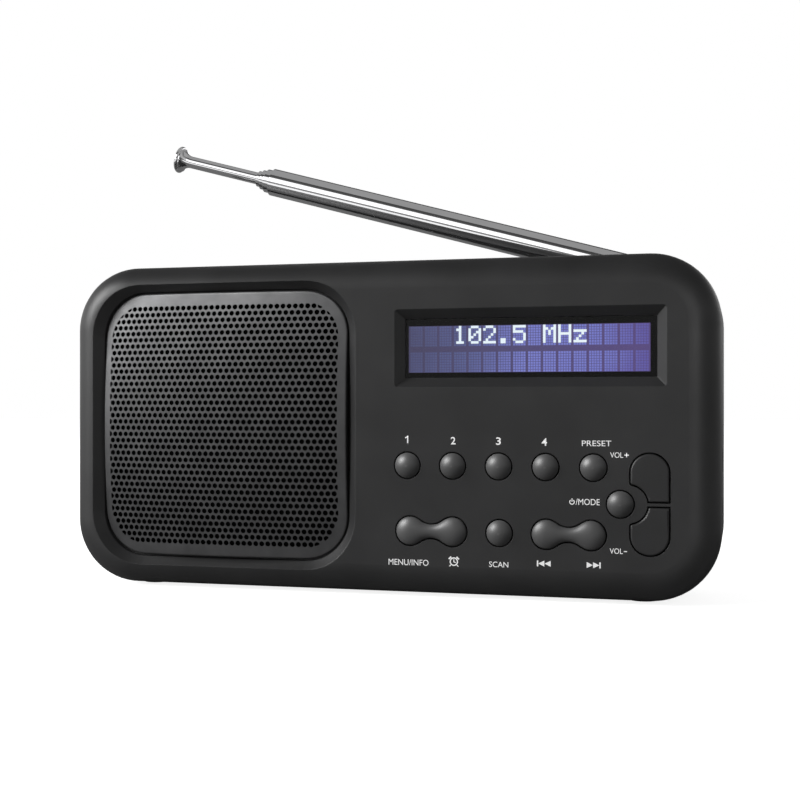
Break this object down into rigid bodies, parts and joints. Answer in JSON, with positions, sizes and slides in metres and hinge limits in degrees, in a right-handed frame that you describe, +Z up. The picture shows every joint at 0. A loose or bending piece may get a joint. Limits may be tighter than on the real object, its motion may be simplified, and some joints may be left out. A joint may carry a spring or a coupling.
{
  "type": "tabletop radio",
  "caption": "Portable tabletop radio with a perforated speaker grille, a backlit two-line display, round and rocker keys, a battery door and a folding telescopic antenna.",
  "frame": {"origin": "on the table under the middle of the radio's box, at the underside of the feet", "axes": "+X to the radio's right as its user sees it, +Y to the back, +Z up"},
  "size_m": [0.16, 0.0396, 0.1163],
  "materials": {
    "case_black": "satin moulded plastic with a fine texture",
    "foot_rubber": "matte rubber",
    "screw_steel": "zinc-plated steel",
    "grille_metal": "dark satin perforated sheet metal",
    "grille_cloth": "black acoustic cloth",
    "gasket_foam": "closed-cell foam",
    "basket_metal": "black stamped steel",
    "surround_rubber": "soft rubber roll",
    "cone_paper": "pressed paper",
    "spider_cloth": "phenolic cloth",
    "coil_copper": "enamelled copper wire",
    "yoke_steel": "zinc-plated steel",
    "ferrite": "matte ferrite",
    "window_clear": "clear acrylic",
    "lcd_frame_black": "black lacquered sheet steel",
    "lcd_glass": "blue character display",
    "backlight": "white light guide",
    "key_gloss": "polished dark plastic",
    "volume_key_plastic": "semi-gloss dark plastic",
    "board_green": "green solder mask",
    "switch_metal": "stamped steel lid",
    "shield_can": "tinned steel",
    "chip_black": "moulded epoxy",
    "capacitor_sleeve": "shrink sleeve",
    "cell_jacket": "printed shrink jacket, no lettering",
    "contact_nickel": "nickel-plated spring steel",
    "antenna_chrome": "polished chrome-plated brass tube"
  },
  "bodies": {
    "root": {"front_housing": "case_black", "rear_housing": "case_black", "rubber_feet": "foot_rubber", "case_screws": "screw_steel", "speaker_screws": "screw_steel", "board_screws": "screw_steel", "speaker_grille": "grille_metal", "grille_cloth": "grille_cloth", "speaker_gasket": "gasket_foam", "speaker_frame": "basket_metal", "speaker_surround": "surround_rubber", "speaker_cone": "cone_paper", "speaker_dust_cap": "cone_paper", "speaker_spider": "spider_cloth", "speaker_voice_coil": "coil_copper", "speaker_top_plate": "yoke_steel", "speaker_yoke": "yoke_steel", "speaker_magnet": "ferrite", "lcd_window": "window_clear", "lcd_frame": "lcd_frame_black", "lcd_panel": "lcd_glass", "lcd_backlight": "backlight", "main_board": "board_green", "tact_switches": "switch_metal", "tuner_module": "shield_can", "usb_socket": "shield_can", "main_chip": "chip_black", "headphone_jack": "chip_black", "filter_capacitors": "capacitor_sleeve", "battery_cell_1": "cell_jacket", "battery_cell_2": "cell_jacket", "battery_cell_3": "cell_jacket", "battery_cell_4": "cell_jacket", "battery_contacts": "contact_nickel", "battery_springs": "contact_nickel"},
    "key_1": {"key_1": "key_gloss"},
    "key_2": {"key_2": "key_gloss"},
    "key_3": {"key_3": "key_gloss"},
    "key_4": {"key_4": "key_gloss"},
    "preset_key": {"preset_key": "key_gloss"},
    "scan_key": {"scan_key": "key_gloss"},
    "mode_key": {"mode_key": "key_gloss"},
    "menu_rocker": {"menu_rocker": "key_gloss"},
    "skip_rocker": {"skip_rocker": "key_gloss"},
    "volume_up_key": {"volume_up_key": "volume_key_plastic"},
    "volume_down_key": {"volume_down_key": "volume_key_plastic"},
    "battery_door": {"battery_door": "case_black"},
    "antenna_base": {"antenna_swivel": "antenna_chrome", "antenna_pin": "antenna_chrome", "antenna_screw": "screw_steel", "antenna_washer": "screw_steel"},
    "antenna_mast": {"antenna_tongue": "antenna_chrome", "antenna_section_1": "antenna_chrome"},
    "antenna_stage_2": {"antenna_section_2": "antenna_chrome"},
    "antenna_stage_3": {"antenna_section_3": "antenna_chrome"},
    "antenna_stage_4": {"antenna_section_4": "antenna_chrome"},
    "antenna_stage_5": {"antenna_rod": "antenna_chrome", "antenna_tip": "antenna_chrome"}
  },
  "joints": [
    {"name": "key_1_press", "type": "slide", "parent": "root", "child": "key_1", "axis": [0, 1, 0], "range_m": [0, 0.0005], "stiffness_N_per_m": 1500, "springref_m": -0.0002},
    {"name": "key_2_press", "type": "slide", "parent": "root", "child": "key_2", "axis": [0, 1, 0], "range_m": [0, 0.0005], "stiffness_N_per_m": 1500, "springref_m": -0.0002},
    {"name": "key_3_press", "type": "slide", "parent": "root", "child": "key_3", "axis": [0, 1, 0], "range_m": [0, 0.0005], "stiffness_N_per_m": 1500, "springref_m": -0.0002},
    {"name": "key_4_press", "type": "slide", "parent": "root", "child": "key_4", "axis": [0, 1, 0], "range_m": [0, 0.0005], "stiffness_N_per_m": 1500, "springref_m": -0.0002},
    {"name": "preset_key_press", "type": "slide", "parent": "root", "child": "preset_key", "axis": [0, 1, 0], "range_m": [0, 0.0005], "stiffness_N_per_m": 1500, "springref_m": -0.0002},
    {"name": "scan_key_press", "type": "slide", "parent": "root", "child": "scan_key", "axis": [0, 1, 0], "range_m": [0, 0.0005], "stiffness_N_per_m": 1500, "springref_m": -0.0002},
    {"name": "mode_key_press", "type": "slide", "parent": "root", "child": "mode_key", "axis": [0, 1, 0], "range_m": [0, 0.0005], "stiffness_N_per_m": 1500, "springref_m": -0.0002},
    {"name": "volume_up_key_press", "type": "slide", "parent": "root", "child": "volume_up_key", "axis": [0, 1, 0], "range_m": [0, 0.0005], "stiffness_N_per_m": 1500, "springref_m": -0.0002},
    {"name": "volume_down_key_press", "type": "slide", "parent": "root", "child": "volume_down_key", "axis": [0, 1, 0], "range_m": [0, 0.0005], "stiffness_N_per_m": 1500, "springref_m": -0.0002},
    {"name": "menu_rocker_tilt", "type": "hinge", "parent": "root", "child": "menu_rocker", "pos_m": [0.01407, -0.0147, 0.016], "axis": [0, 0, 1], "range_deg": [-3, 3], "stiffness_Nm_per_rad": 0.12},
    {"name": "skip_rocker_tilt", "type": "hinge", "parent": "root", "child": "skip_rocker", "pos_m": [0.0462, -0.0147, 0.016], "axis": [0, 0, 1], "range_deg": [-3, 3], "stiffness_Nm_per_rad": 0.12},
    {"name": "battery_door_hinge", "type": "hinge", "parent": "root", "child": "battery_door", "pos_m": [0.0345, 0.0187, 0.0079], "axis": [-1, 0, 0], "range_deg": [0, 95]},
    {"name": "antenna_swivel_turn", "type": "hinge", "parent": "root", "child": "antenna_base", "pos_m": [0.0693, 0.015, 0.0762], "axis": [0, 1, 0], "range_deg": [-15.3, 104.7]},
    {"name": "antenna_elbow", "type": "hinge", "parent": "antenna_base", "child": "antenna_mast", "pos_m": [0.0693, 0.015, 0.0762], "axis": [-0.2639, 0, -0.9646], "range_deg": [0, 90]},
    {"name": "antenna_extend_2", "type": "slide", "parent": "antenna_mast", "child": "antenna_stage_2", "axis": [-0.9646, 0, 0.2639], "range_m": [0, 0.085]},
    {"name": "antenna_extend_3", "type": "slide", "parent": "antenna_stage_2", "child": "antenna_stage_3", "axis": [-0.9646, 0, 0.2639], "range_m": [0, 0.085]},
    {"name": "antenna_extend_4", "type": "slide", "parent": "antenna_stage_3", "child": "antenna_stage_4", "axis": [-0.9646, 0, 0.2639], "range_m": [0, 0.085]},
    {"name": "antenna_extend_5", "type": "slide", "parent": "antenna_stage_4", "child": "antenna_stage_5", "axis": [-0.9646, 0, 0.2639], "range_m": [0, 0.085]}
  ]
}
